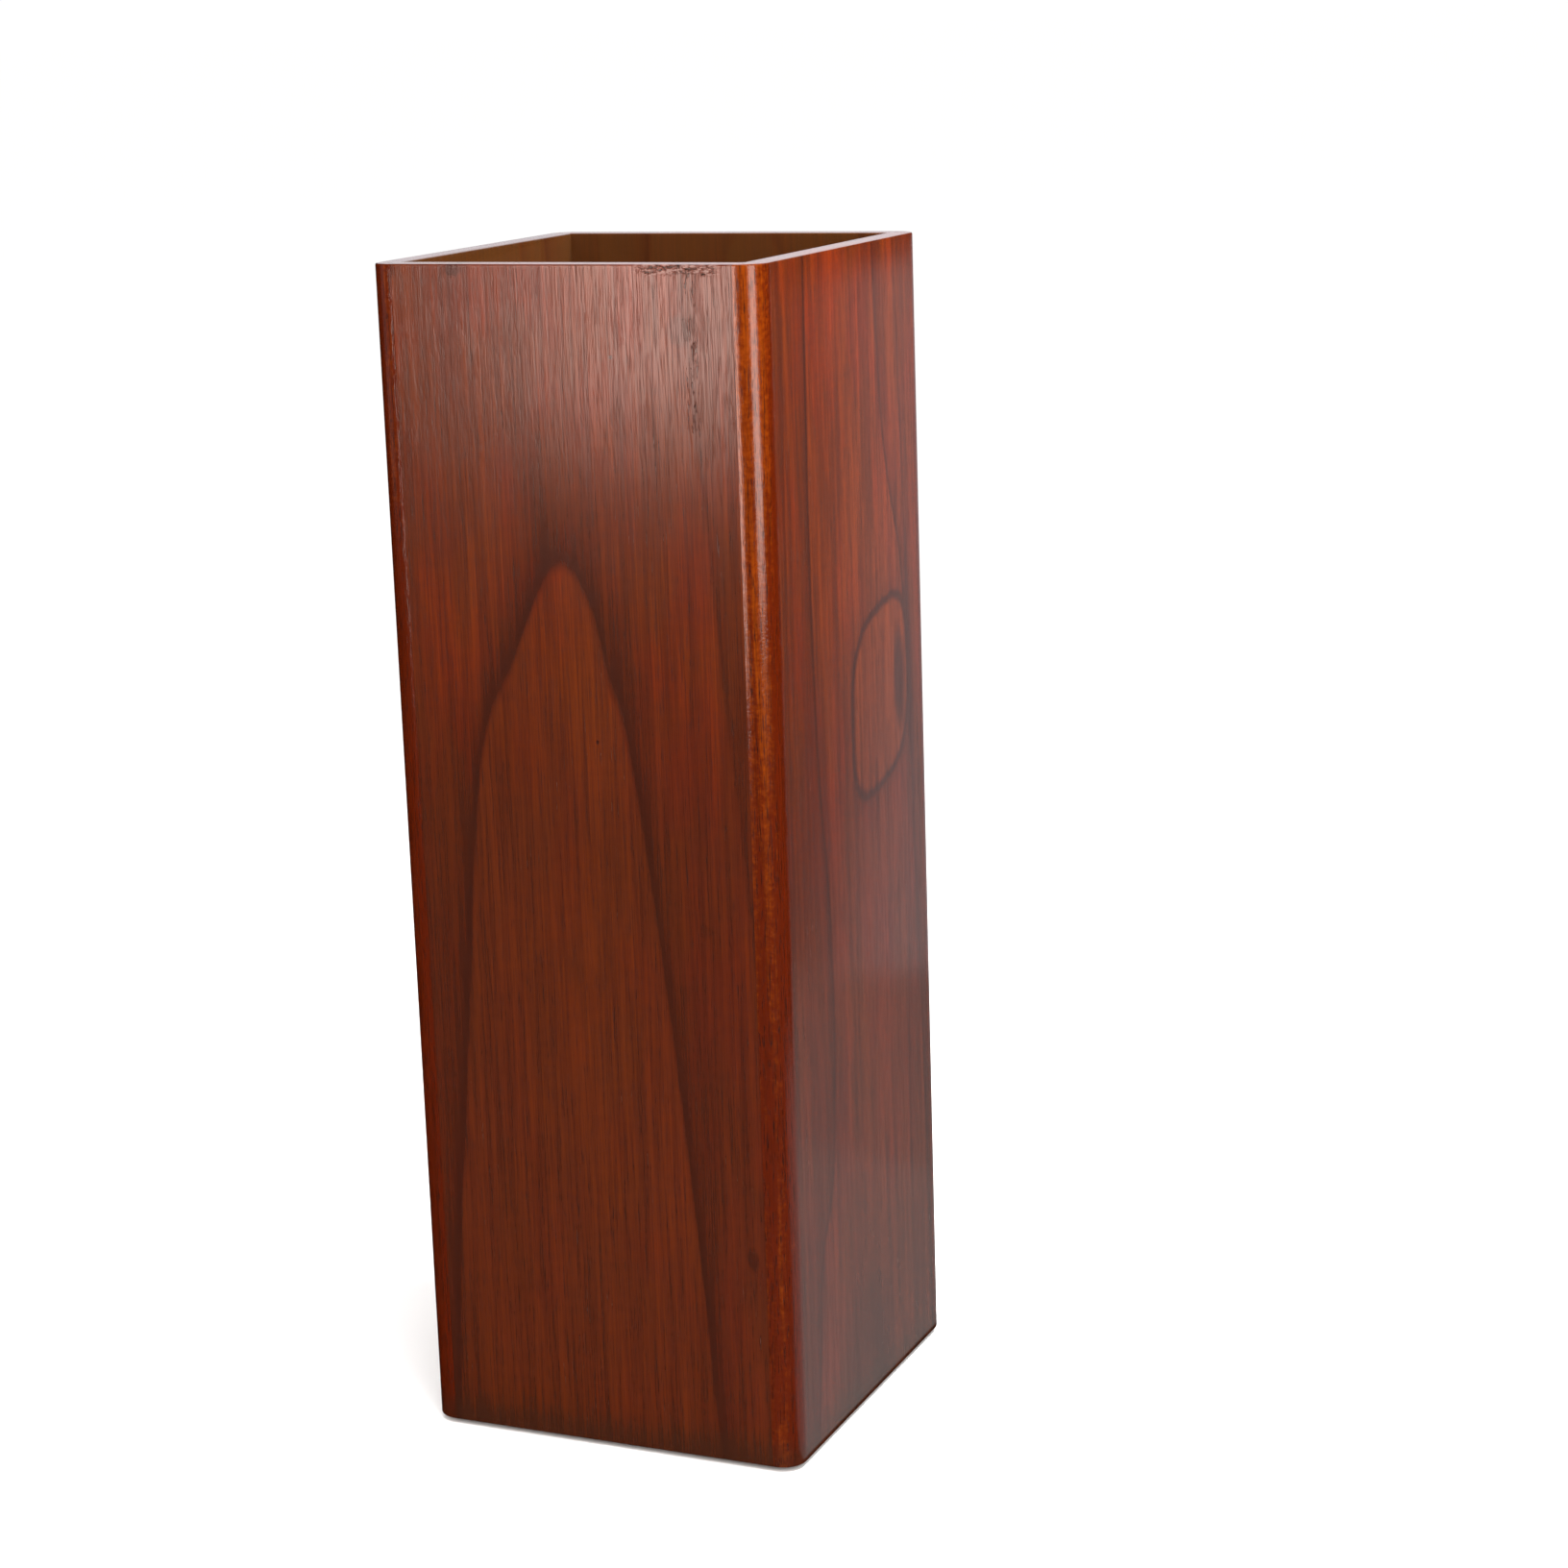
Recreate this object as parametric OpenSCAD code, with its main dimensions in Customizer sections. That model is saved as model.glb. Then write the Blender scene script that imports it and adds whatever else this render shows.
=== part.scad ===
// Square wooden umbrella stand: four flat boards between four rounded corner posts,
// a plywood bottom on cleats, a lift-out drip tray and four anti-slip pads.
// +Z is up and the front looks towards -Y. The origin is on the ground, under the middle.

/* [Case] */
// Width of the case, left to right
case_w = 155; // [120:1:220]
// Depth of the case, front to back
case_d = 155; // [120:1:220]
// Height of the wooden case, without the pads
case_h = 448; // [300:1:600]
// Thickness of the four panels, and the width of the posts between them
panel_t = 10; // [8:0.5:16]
// Outer radius of the corner posts
corner_r = 9; // [2:0.5:9]

/* [Corner joint] */
// Thickness of the tongue along each upright edge of a panel
tongue_t = 3; // [2:0.2:3.6]
// Distance from a panel's outer face to its tongue
tongue_inset = 3; // [2:0.2:3.4]
// Wood left in a post between its two grooves
groove_web = 1.2; // [0.6:0.1:1.4]
// Room for glue at the bottom of each groove
glue_gap = 0.3; // [0.1:0.1:0.4]

/* [Bottom] */
// Width of the cleats under the bottom board
cleat_w = 12; // [10:0.5:16]
// Height of the cleats
cleat_h = 12; // [9:0.5:20]
// Thickness of the bottom board
board_t = 6; // [5:0.5:12]
// Gap round the bottom board, so that it drops in
board_gap = 0.5; // [0.2:0.1:1.5]

/* [Screws] */
// Diameter of the screw shank
screw_d = 3.5; // [3:0.1:4.5]
// Diameter of the countersunk head
head_d = 7; // [6:0.1:8.5]
// Height of the countersunk cone
head_h = 2; // [1.6:0.1:2.6]
// How far each screw reaches into the bottom board
screw_bite = 4; // [2:0.5:4.5]
// Distance along a cleat from the corner where two cleats meet to the screw
screw_inset = 18; // [12:1:24]
// Clearance round the shank
screw_gap = 0.1; // [0.05:0.05:0.3]
// Depth of the hole beyond the screw's point
screw_end_gap = 0.3; // [0.1:0.1:0.4]

/* [Pads] */
// Diameter of the anti-slip pads
pad_d = 14; // [10:0.5:18]
// Thickness of the pads
pad_t = 2; // [1:0.5:5]

/* [Drip tray] */
// Gap between the tray's lip and the case
tray_gap = 2; // [1:0.5:6]
// Height of the tray
tray_h = 28; // [15:1:60]
// Wall thickness of the tray
tray_wall = 2; // [1.5:0.1:3]
// Floor thickness of the tray
tray_floor = 2.5; // [1.5:0.1:4]
// How far the lip stands out from the tray's wall
lip_w = 2.5; // [1:0.5:6]
// Thickness of the lip
lip_t = 2; // [1.5:0.1:4]
// Outer radius of the tray's upright corners, at the lip
tray_r = 12; // [6:0.5:20]
// Height of the ribs on the tray's floor
rib_h = 2.5; // [1:0.5:5]
// Width of each rib
rib_w = 3; // [2:0.5:5]
// Number of ribs
rib_count = 5; // [3:1:9]
// Gap between the ends of the ribs and the tray's wall, where the water runs
rib_gap = 12; // [8:1:20]

/* [Hidden] */
$fn = 96;

wood = "#6f3b22";
amber_wood = "#94480f";
plywood = "#c9a878";
pine = "#c79a62";
steel = "#b9b6a8";
black_rubber = "#26241f";
tray_plastic = "#2b2622";

// Overlap of solids that are cut from or joined to each other
eps = 0.01;
// The posts are as wide as the panels are thick, so the inside is flush
post_w = panel_t;
post_r = min(corner_r, post_w - 0.5);
// The tongues go as deep as leaves the web between the two grooves of a post
groove_d = post_w - tongue_inset - tongue_t - groove_web;
tongue_d = groove_d - glue_gap;

// Clear space inside the case
inner_w = case_w - 2 * panel_t;
inner_d = case_d - 2 * panel_t;

// Heights, from the ground up
case_z = pad_t;
board_z = case_z + cleat_h;
tray_z = board_z + board_t;

// Middle lines of the cleats, which cross where the pads are
cleat_x = inner_w / 2 - cleat_w / 2;
cleat_y = inner_d / 2 - cleat_w / 2;

// Two screws in each cleat, in the middle of its width
screw_x = inner_w / 2 - cleat_w - screw_inset;
screw_y = inner_d / 2 - cleat_w - screw_inset;
screw_len = cleat_h + screw_bite;
// Length of the screw's pointed end, and the width of its blunt point
tip_h = screw_d;
tip_d = screw_d * 0.2;
// Slots of the cross recess in the head
recess_l = head_d * 0.55;
recess_w = head_d * 0.14;
recess_h = head_h * 0.6;

// Tray sizes at the lip and at the wall
lip_x = inner_w - 2 * tray_gap;
lip_y = inner_d - 2 * tray_gap;
tray_x = lip_x - 2 * lip_w;
tray_y = lip_y - 2 * lip_w;
tray_wall_r = tray_r - lip_w;
bowl_x = tray_x - 2 * tray_wall;
bowl_y = tray_y - 2 * tray_wall;
bowl_r = tray_wall_r - tray_wall;
rib_pitch = bowl_x / (rib_count + 1);

// A board standing along X, its outer face towards -Y at y = 0, with a tongue at each end
module panel(length) {
    linear_extrude(case_h) {
        translate([-length / 2, 0]) square([length, panel_t]);
        translate([-length / 2 - tongue_d, tongue_inset]) square([length + 2 * tongue_d, tongue_t]);
    }
}

// A post with its rounded outer corner towards [0, 0] and a groove in each inner side
module post() {
    linear_extrude(case_h) difference() {
        union() {
            translate([post_r, 0]) square([post_w - post_r, post_w]);
            translate([0, post_r]) square([post_w, post_w - post_r]);
            intersection() {
                translate([post_r, post_r]) circle(post_r);
                square(post_w);
            }
        }
        translate([post_w - groove_d, tongue_inset]) square([groove_d + eps, tongue_t]);
        translate([tongue_inset, post_w - groove_d]) square([tongue_t, groove_d + eps]);
    }
}

// Countersunk screw, its head's flat at z = 0 and its point up
module screw() {
    difference() {
        union() {
            cylinder(h = head_h, d1 = head_d, d2 = screw_d);
            cylinder(h = screw_len - tip_h, d = screw_d);
            translate([0, 0, screw_len - tip_h]) cylinder(h = tip_h, d1 = screw_d, d2 = tip_d);
        }
        for (turn = [0, 90]) {
            rotate(turn) translate([-recess_l / 2, -recess_w / 2, -eps])
                cube([recess_l, recess_w, recess_h + eps]);
        }
    }
}

// What a screw needs cut from the wood it goes through
module screw_hole() {
    cylinder(h = head_h, d1 = head_d, d2 = screw_d);
    translate([0, 0, -eps]) cylinder(h = screw_len + screw_end_gap + eps, d = screw_d + 2 * screw_gap);
}

// Puts a screw or its hole at the eight screw places
module at_screws() {
    for (x = [-screw_x, screw_x], y = [-cleat_y, cleat_y]) {
        translate([x, y, case_z]) children();
    }
    for (x = [-cleat_x, cleat_x], y = [-screw_y, screw_y]) {
        translate([x, y, case_z]) children();
    }
}

// A flat square plate with rounded upright corners, centred on the Z axis
module rounded_plate(x, y, r, h) {
    linear_extrude(h) {
        square([x - 2 * r, y], center = true);
        square([x, y - 2 * r], center = true);
        for (sx = [-1, 1], sy = [-1, 1]) {
            translate([sx * (x / 2 - r), sy * (y / 2 - r)]) circle(r);
        }
    }
}

module front_panel() {
    color(wood) translate([0, -case_d / 2, case_z]) panel(inner_w);
}

module back_panel() {
    color(wood) translate([0, case_d / 2, case_z]) rotate(180) panel(inner_w);
}

module left_panel() {
    color(wood) translate([-case_w / 2, 0, case_z]) rotate(-90) panel(inner_d);
}

module right_panel() {
    color(wood) translate([case_w / 2, 0, case_z]) rotate(90) panel(inner_d);
}

module front_left_post() {
    color(amber_wood) translate([-case_w / 2, -case_d / 2, case_z]) post();
}

module front_right_post() {
    color(amber_wood) translate([case_w / 2, -case_d / 2, case_z]) rotate(90) post();
}

module back_left_post() {
    color(amber_wood) translate([-case_w / 2, case_d / 2, case_z]) rotate(-90) post();
}

module back_right_post() {
    color(amber_wood) translate([case_w / 2, case_d / 2, case_z]) rotate(180) post();
}

// The board lies on the cleats and clears the case all round
module bottom_board() {
    color(plywood) difference() {
        translate([board_gap - inner_w / 2, board_gap - inner_d / 2, board_z])
            cube([inner_w - 2 * board_gap, inner_d - 2 * board_gap, board_t]);
        at_screws() screw_hole();
    }
}

// The front and back cleats run the whole inner width, and the side cleats fit between them
module cleat(length_x, length_y, x, y) {
    color(pine) difference() {
        translate([x - length_x / 2, y - length_y / 2, case_z]) cube([length_x, length_y, cleat_h]);
        at_screws() screw_hole();
    }
}

module front_cleat() {
    cleat(inner_w, cleat_w, 0, -cleat_y);
}

module back_cleat() {
    cleat(inner_w, cleat_w, 0, cleat_y);
}

module left_cleat() {
    cleat(cleat_w, inner_d - 2 * cleat_w, -cleat_x, 0);
}

module right_cleat() {
    cleat(cleat_w, inner_d - 2 * cleat_w, cleat_x, 0);
}

module cleat_screws() {
    color(steel) at_screws() screw();
}

module pad(x, y) {
    color(black_rubber) translate([x, y, 0]) cylinder(h = pad_t, d = pad_d);
}

module front_left_pad() {
    pad(-cleat_x, -cleat_y);
}

module front_right_pad() {
    pad(cleat_x, -cleat_y);
}

module back_left_pad() {
    pad(-cleat_x, cleat_y);
}

module back_right_pad() {
    pad(cleat_x, cleat_y);
}

// An open tray with a lip to lift it by and ribs that keep the umbrella tips out of the water
module drip_tray() {
    color(tray_plastic) translate([0, 0, tray_z]) {
        difference() {
            union() {
                rounded_plate(tray_x, tray_y, tray_wall_r, tray_h);
                translate([0, 0, tray_h - lip_t]) rounded_plate(lip_x, lip_y, tray_r, lip_t);
            }
            translate([0, 0, tray_floor]) rounded_plate(bowl_x, bowl_y, bowl_r, tray_h);
        }
        for (i = [1 : rib_count]) {
            translate([i * rib_pitch - bowl_x / 2 - rib_w / 2, rib_gap - bowl_y / 2, tray_floor - eps])
                cube([rib_w, bowl_y - 2 * rib_gap, rib_h + eps]);
        }
    }
}

front_panel();
back_panel();
left_panel();
right_panel();
front_left_post();
front_right_post();
back_left_post();
back_right_post();
bottom_board();
front_cleat();
back_cleat();
left_cleat();
right_cleat();
cleat_screws();
front_left_pad();
front_right_pad();
back_left_pad();
back_right_pad();
drip_tray();
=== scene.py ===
import math
import bmesh
import bpy
from mathutils import Matrix, Vector, noise


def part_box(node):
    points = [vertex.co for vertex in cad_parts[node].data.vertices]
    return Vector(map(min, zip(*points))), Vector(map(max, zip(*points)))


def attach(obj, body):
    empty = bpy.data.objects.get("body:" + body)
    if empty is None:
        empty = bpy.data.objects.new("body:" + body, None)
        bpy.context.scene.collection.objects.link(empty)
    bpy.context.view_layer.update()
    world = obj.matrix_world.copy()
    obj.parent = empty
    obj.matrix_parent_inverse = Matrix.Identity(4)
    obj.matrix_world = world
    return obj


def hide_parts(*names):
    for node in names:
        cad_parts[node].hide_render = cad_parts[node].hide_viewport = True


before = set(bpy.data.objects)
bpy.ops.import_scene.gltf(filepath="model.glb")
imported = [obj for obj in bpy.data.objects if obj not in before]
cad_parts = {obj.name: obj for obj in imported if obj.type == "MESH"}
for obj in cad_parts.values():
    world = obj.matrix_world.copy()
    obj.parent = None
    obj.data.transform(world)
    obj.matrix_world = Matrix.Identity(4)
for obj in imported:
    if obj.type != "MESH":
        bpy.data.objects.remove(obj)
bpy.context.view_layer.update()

mm = 0.001
tiny = 1e-6               # lengths in metres closer than this are taken as equal


# modelling helpers

def beginWith(piece, name):                       # names a new primitive and makes it the only one selected
    piece.name = piece.data.name = name
    bpy.ops.object.select_all(action="DESELECT")
    piece.select_set(True)
    bpy.context.view_layer.objects.active = piece
    return piece


def addBlock(name, low, high):                    # a block between two corners, its place in its mesh
    low, high = Vector(low), Vector(high)
    bpy.ops.object.select_all(action="DESELECT")
    bpy.ops.mesh.primitive_cube_add(size=1, location=(low + high) / 2)
    block = beginWith(bpy.context.object, name)
    block.scale = high - low
    bpy.ops.object.transform_apply(location=True, rotation=True, scale=True)
    return block


def openMesh(piece):                              # edit mode on one piece, nothing selected
    beginWith(piece, piece.name)
    bpy.ops.object.mode_set(mode="EDIT")
    bpy.ops.mesh.select_all(action="DESELECT")


def closeMesh():
    bpy.ops.object.mode_set(mode="OBJECT")


def pick(piece, kind, test):                      # selects the vertices, edges or faces that pass the test
    bpy.ops.mesh.select_mode(type=kind)
    bpy.ops.mesh.select_all(action="DESELECT")
    shape = bmesh.from_edit_mesh(piece.data)
    shape.normal_update()
    parts = {"VERT": shape.verts, "EDGE": shape.edges, "FACE": shape.faces}[kind]
    for part in [p for p in parts if test(p)]:
        part.select_set(True)
    bmesh.update_edit_mesh(piece.data)


def middle(edge):
    return (edge.verts[0].co + edge.verts[1].co) / 2


def level(edge, height):                          # the whole edge lies at one height
    return all(abs(v.co.z - height) < 10 * tiny for v in edge.verts)


def upright(edge):
    run = edge.verts[1].co - edge.verts[0].co
    return abs(run.z) > 0.99 * run.length


def sharp(edge):                                  # its two faces meet at a corner, not along a curve
    return edge.calc_face_angle(0) > 1.2


def cutThrough(place, normal):                    # cuts new edges through the piece being edited
    bpy.ops.mesh.select_all(action="SELECT")
    bpy.ops.mesh.bisect(plane_co=place, plane_no=normal)


def soften(width, steps=2, shape=0.5):            # rounds the selected edges
    bpy.ops.mesh.bevel(offset=width, segments=steps, profile=shape, affect="EDGES", clamp_overlap=True)


def carve(piece, cutter, how="DIFFERENCE"):
    change = piece.modifiers.new("carve", "BOOLEAN")
    change.object, change.operation, change.solver = cutter, how, "EXACT"
    beginWith(piece, piece.name)
    bpy.ops.object.modifier_apply(modifier=change.name)
    bpy.data.objects.remove(cutter)


def joinAll(name, pieces):
    bpy.ops.object.select_all(action="DESELECT")
    for piece in pieces:
        piece.select_set(True)
    bpy.context.view_layer.objects.active = pieces[0]
    if len(pieces) > 1:
        bpy.ops.object.join()
    return beginWith(bpy.context.object, name)


def copyTurned(piece, name, angle, shift=(0, 0, 0)):    # a copy with its own mesh, turned about z
    copy = piece.copy()
    copy.data = piece.data.copy()
    bpy.context.scene.collection.objects.link(copy)
    beginWith(copy, name)
    copy.rotation_euler.z = angle
    copy.location = shift
    bpy.ops.object.transform_apply(location=True, rotation=True, scale=True)
    return copy


def finishPiece(piece, material, slot, body, *nodes):    # smooth faces, material and place in the frame
    beginWith(piece, piece.name)
    bpy.ops.object.transform_apply(location=True, rotation=True, scale=True)
    bpy.ops.object.shade_smooth_by_angle(angle=math.radians(32))
    piece.data.materials.clear()
    piece.data.materials.append(material)
    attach(piece, body)
    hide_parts(*nodes)
    return piece


# shader helpers

class Strand:                                     # one output of a node, ready for arithmetic
    def __init__(self, tree, socket):
        self.tree = tree
        self.socket = socket

    def node(self, kind, settings=None, inputs=None, output=0):
        made = self.tree.nodes.new("ShaderNode" + kind)
        for name, value in (settings or {}).items():
            if name == "points":
                curve = made.mapping.curves[0]
                while len(curve.points) < len(value):
                    curve.points.new(0.5, 0.5)
                for point, place in zip(curve.points, value):
                    point.location = place
                made.mapping.update()
            else:
                setattr(made, name, value)
        for name, value in (inputs or {}).items():
            if isinstance(value, Strand):
                self.tree.links.new(value.socket, made.inputs[name])
            else:
                made.inputs[name].default_value = value
        return Strand(self.tree, made.outputs[output])

    def calc(self, operation, *values):
        return self.node("Math", {"operation": operation}, dict(enumerate(values)))

    def __add__(self, other):
        return self.calc("ADD", self, other)

    def __sub__(self, other):
        return self.calc("SUBTRACT", self, other)

    def __rsub__(self, other):
        return self.calc("SUBTRACT", other, self)

    def __mul__(self, other):
        return self.calc("MULTIPLY", self, other)

    def __truediv__(self, other):
        return self.calc("DIVIDE", self, other)

    def __neg__(self):
        return self.calc("MULTIPLY", self, -1)

    def __pow__(self, other):
        return self.calc("POWER", self, other)

    def __mod__(self, other):
        return self.calc("MODULO", self, other)

    def __abs__(self):
        return self.calc("ABSOLUTE", self)

    __radd__ = __add__

    def atLeast(self, other):
        return self.calc("MAXIMUM", self, other)

    def atMost(self, other):
        return self.calc("MINIMUM", self, other)

    def bent(self, points, spanIn, spanOut):             # reads a drawn curve of (in, out) points
        inLow, inWide = spanIn[0], spanIn[1] - spanIn[0]
        outLow, outWide = spanOut[0], spanOut[1] - spanOut[0]
        places = [((a - inLow) / inWide, (b - outLow) / outWide) for a, b in points]
        drawn = self.node("FloatCurve", {"points": places}, {"Value": (self - inLow) / inWide})
        return drawn * outWide + outLow

    def rise(self, start, end):                          # smooth step from 0 at start to 1 at end
        return self.node("MapRange", {"interpolation_type": "SMOOTHSTEP"},
                         {"Value": self, "From Min": start, "From Max": end})

    def mix(self, first, second):                        # blends two colours, this strand being the factor
        return self.node("Mix", {"data_type": "RGBA"}, {0: self, 6: first, 7: second}, 2)

    def noise(self, x, y, z, detail=2.0, rough=0.5):     # about -1 to 1 at a place given by three values
        place = self.node("CombineXYZ", None, {"X": x, "Y": y, "Z": z})
        value = self.node("TexNoise", None,
                          {"Vector": place, "Scale": 1.0, "Detail": detail, "Roughness": rough})
        return (value - 0.5) * 4


def newMaterial(name):                            # the material, its shader and the place x, y, z in mm
    material = bpy.data.materials.new(name)
    material.use_nodes = True
    tree = material.node_tree
    shader = tree.nodes["Principled BSDF"]
    coordinates = tree.nodes.new("ShaderNodeTexCoord")
    place = Strand(tree, coordinates.outputs["Object"])
    x, y, z = (place.node("SeparateXYZ", None, {"Vector": place}, axis) * 1000 for axis in range(3))
    return material, shader, x, y, z


def plug(shader, name, value):
    if isinstance(value, Strand):
        value.tree.links.new(value.socket, shader.inputs[name])
    else:
        shader.inputs[name].default_value = value


def falling(distance, reach):                     # 1 at no distance, fading away over the reach
    return distance.calc("EXPONENT", distance.atLeast(0) / -reach)


def dress(shader, colour, roughness, height, depth):    # height runs from 0 to 1, depth in metres
    plug(shader, "Base Color", colour)
    plug(shader, "Roughness", roughness)
    plug(shader, "Normal", height.node("Bump", None, {"Height": height, "Strength": 1.0, "Distance": depth}))


# stained boards

boards = {
    "tongueThick": 3 * mm, "tongueInset": 3 * mm, "arris": 0.6 * mm, "jointEase": 0.08 * mm,
    # the torn top edge: where across the front, how deep, how far in, and the spacing of its cuts, in mm
    "tearSpan": (30, 62), "tearDeep": 3.6, "tearBite": 0.5, "tearThick": 0.65, "tearStep": 0.8,
    "tearRow": 0.5, "tearRows": 9,
    "red": (0.092, 0.0105, 0.0014, 1), "brown": (0.078, 0.0130, 0.0010, 1),
    "warm": (0.092, 0.0158, 0.0010, 1), "dark": (0.020, 0.0045, 0.0022, 1),
    "stain": (0.024, 0.0085, 0.0040, 1), "pore": (0.013, 0.0035, 0.0015, 1),
    "raw": (0.046, 0.0175, 0.0048, 1), "worn": (0.060, 0.0220, 0.0120, 1),
    # the pale colour on the next line, after worn, is a painted highlight: the lacquer's glint on the torn
    # top edge
    "paintedGlint": (0.230, 0.160, 0.150, 1), "roughness": 0.18, "bump": 0.07 * mm,
}

# how far below its apex, in mm, an arch of the grain has spread so far from its middle line
archSpread = [(0, 0), (6, 6), (12, 18), (20, 42), (27, 58), (33, 88), (40, 145), (48, 230), (56, 340),
              (64, 430), (72, 495), (100, 680)]

# Lengths in mm, heights from the foot of the case.
# close: how close the fibres lie. streak: how strong they are. relief: how far they are raised.
# lower: how strongly painted shade darkens the lower half, more beside the left edge.
# rings: height of the apex, strength, reach of the shade.
# lines: (height, across) points, width, strength, side and reach of the shade beside the line.
# spots and cloud: across, height, half sizes, and a spot's strength. island: the same, and its slant.
# marks: across, half width, lowest and highest.
boardGrain = {
    "front_panel": {
        "along": "x", "seed": 3.1, "middle": -4, "lean": -5.5, "apex": 341,
        "close": 1.0, "streak": 1.2, "relief": 1.0, "lower": 1.0, "tint": (1.06, 0.97, 0.9, 1),
        "rings": [(341, 1.15, 25), (560, 0.2, 70)],
        "lines": [([(0, 80), (148, 72.5), (223, 66), (298, 59.5), (366, 54), (398, 51), (448, 47.5)],
                   2.3, 0.62, 1, 7)],
        "spots": [(7.5, 275.5, 0.7, 1.0, 1.0), (19.5, 415.5, 0.8, 0.9, 1.0), (46, 425, 5, 6, 0.5),
                  (62.5, 82, 3, 5, 0.5), (-69, 446, 3.5, 4, 0.8), (-42, 446.5, 4, 3, 0.7),
                  (48, 207, 3, 3, 0.3)],
        "marks": (51, 3.5, 385, 446), "island": None, "cloud": None,
    },
    "right_panel": {
        "along": "y", "seed": 8.4, "middle": 90, "lean": 0, "apex": 900,
        "close": 0.6, "streak": 1.7, "relief": 0.1, "lower": 1.0, "tint": (1.2, 1.05, 0.85, 1),
        "rings": [],
        "lines": [([(0, -56), (35, -52.5), (73, -47.5), (98, -36), (135, -31), (173, -29.5), (210, -31),
                    (260, -37.5), (298, -39.5), (348, -40.5), (398, -40), (448, -38.75)],
                   2.2, 1.3, -1, 11),
                  ([(0, 66), (220, 58), (328, 48.75), (348, 42), (373, 35), (410, 30.5), (448, 27.5)],
                   2.0, 1.1, 1, 7),
                  ([(0, 47), (120, 47), (230, 53), (300, 55), (448, 48.5)], 2.0, 0.8, 1, 8),
                  ([(0, -66), (448, -61)], 1.8, 0.6, -1, 8)],
        "spots": [(45, 279, 6, 22, 1.0)],
        "marks": None, "island": (25, 276, 29, 34, 0.25), "cloud": (-7, 16, 32, 40),
    },
    "back_panel": {
        "along": "x", "seed": 15.7, "middle": 12, "lean": 6, "apex": 250,
        "close": 1.0, "streak": 1.0, "relief": 0.8, "lower": 0.6, "tint": (1, 1, 1, 1),
        "rings": [(252, 1.05, 24), (455, 0.5, 20), (640, 0.9, 22)],
        "lines": [([(0, -58), (200, -52), (448, -56)], 1.0, 0.5, -1, 8)],
        "spots": [(-30, 320, 3, 7, 0.7), (41, 96, 1.0, 1.4, 1.0)],
        "marks": None, "island": None, "cloud": None,
    },
    "left_panel": {
        "along": "y", "seed": 23.3, "middle": -18, "lean": 8, "apex": 390,
        "close": 1.0, "streak": 1.0, "relief": 0.8, "lower": 0.6, "tint": (0.95, 1, 1, 1),
        "rings": [(392, 0.95, 26), (610, 0.7, 18), (860, 0.8, 16)],
        "lines": [([(0, 40), (160, 44), (300, 37), (448, 42)], 1.0, 0.6, 1, 8)],
        "spots": [(22, 205, 4, 8, 0.6), (-12, 60, 0.9, 1.1, 1.0)],
        "marks": None, "island": None, "cloud": None,
    },
}


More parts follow.
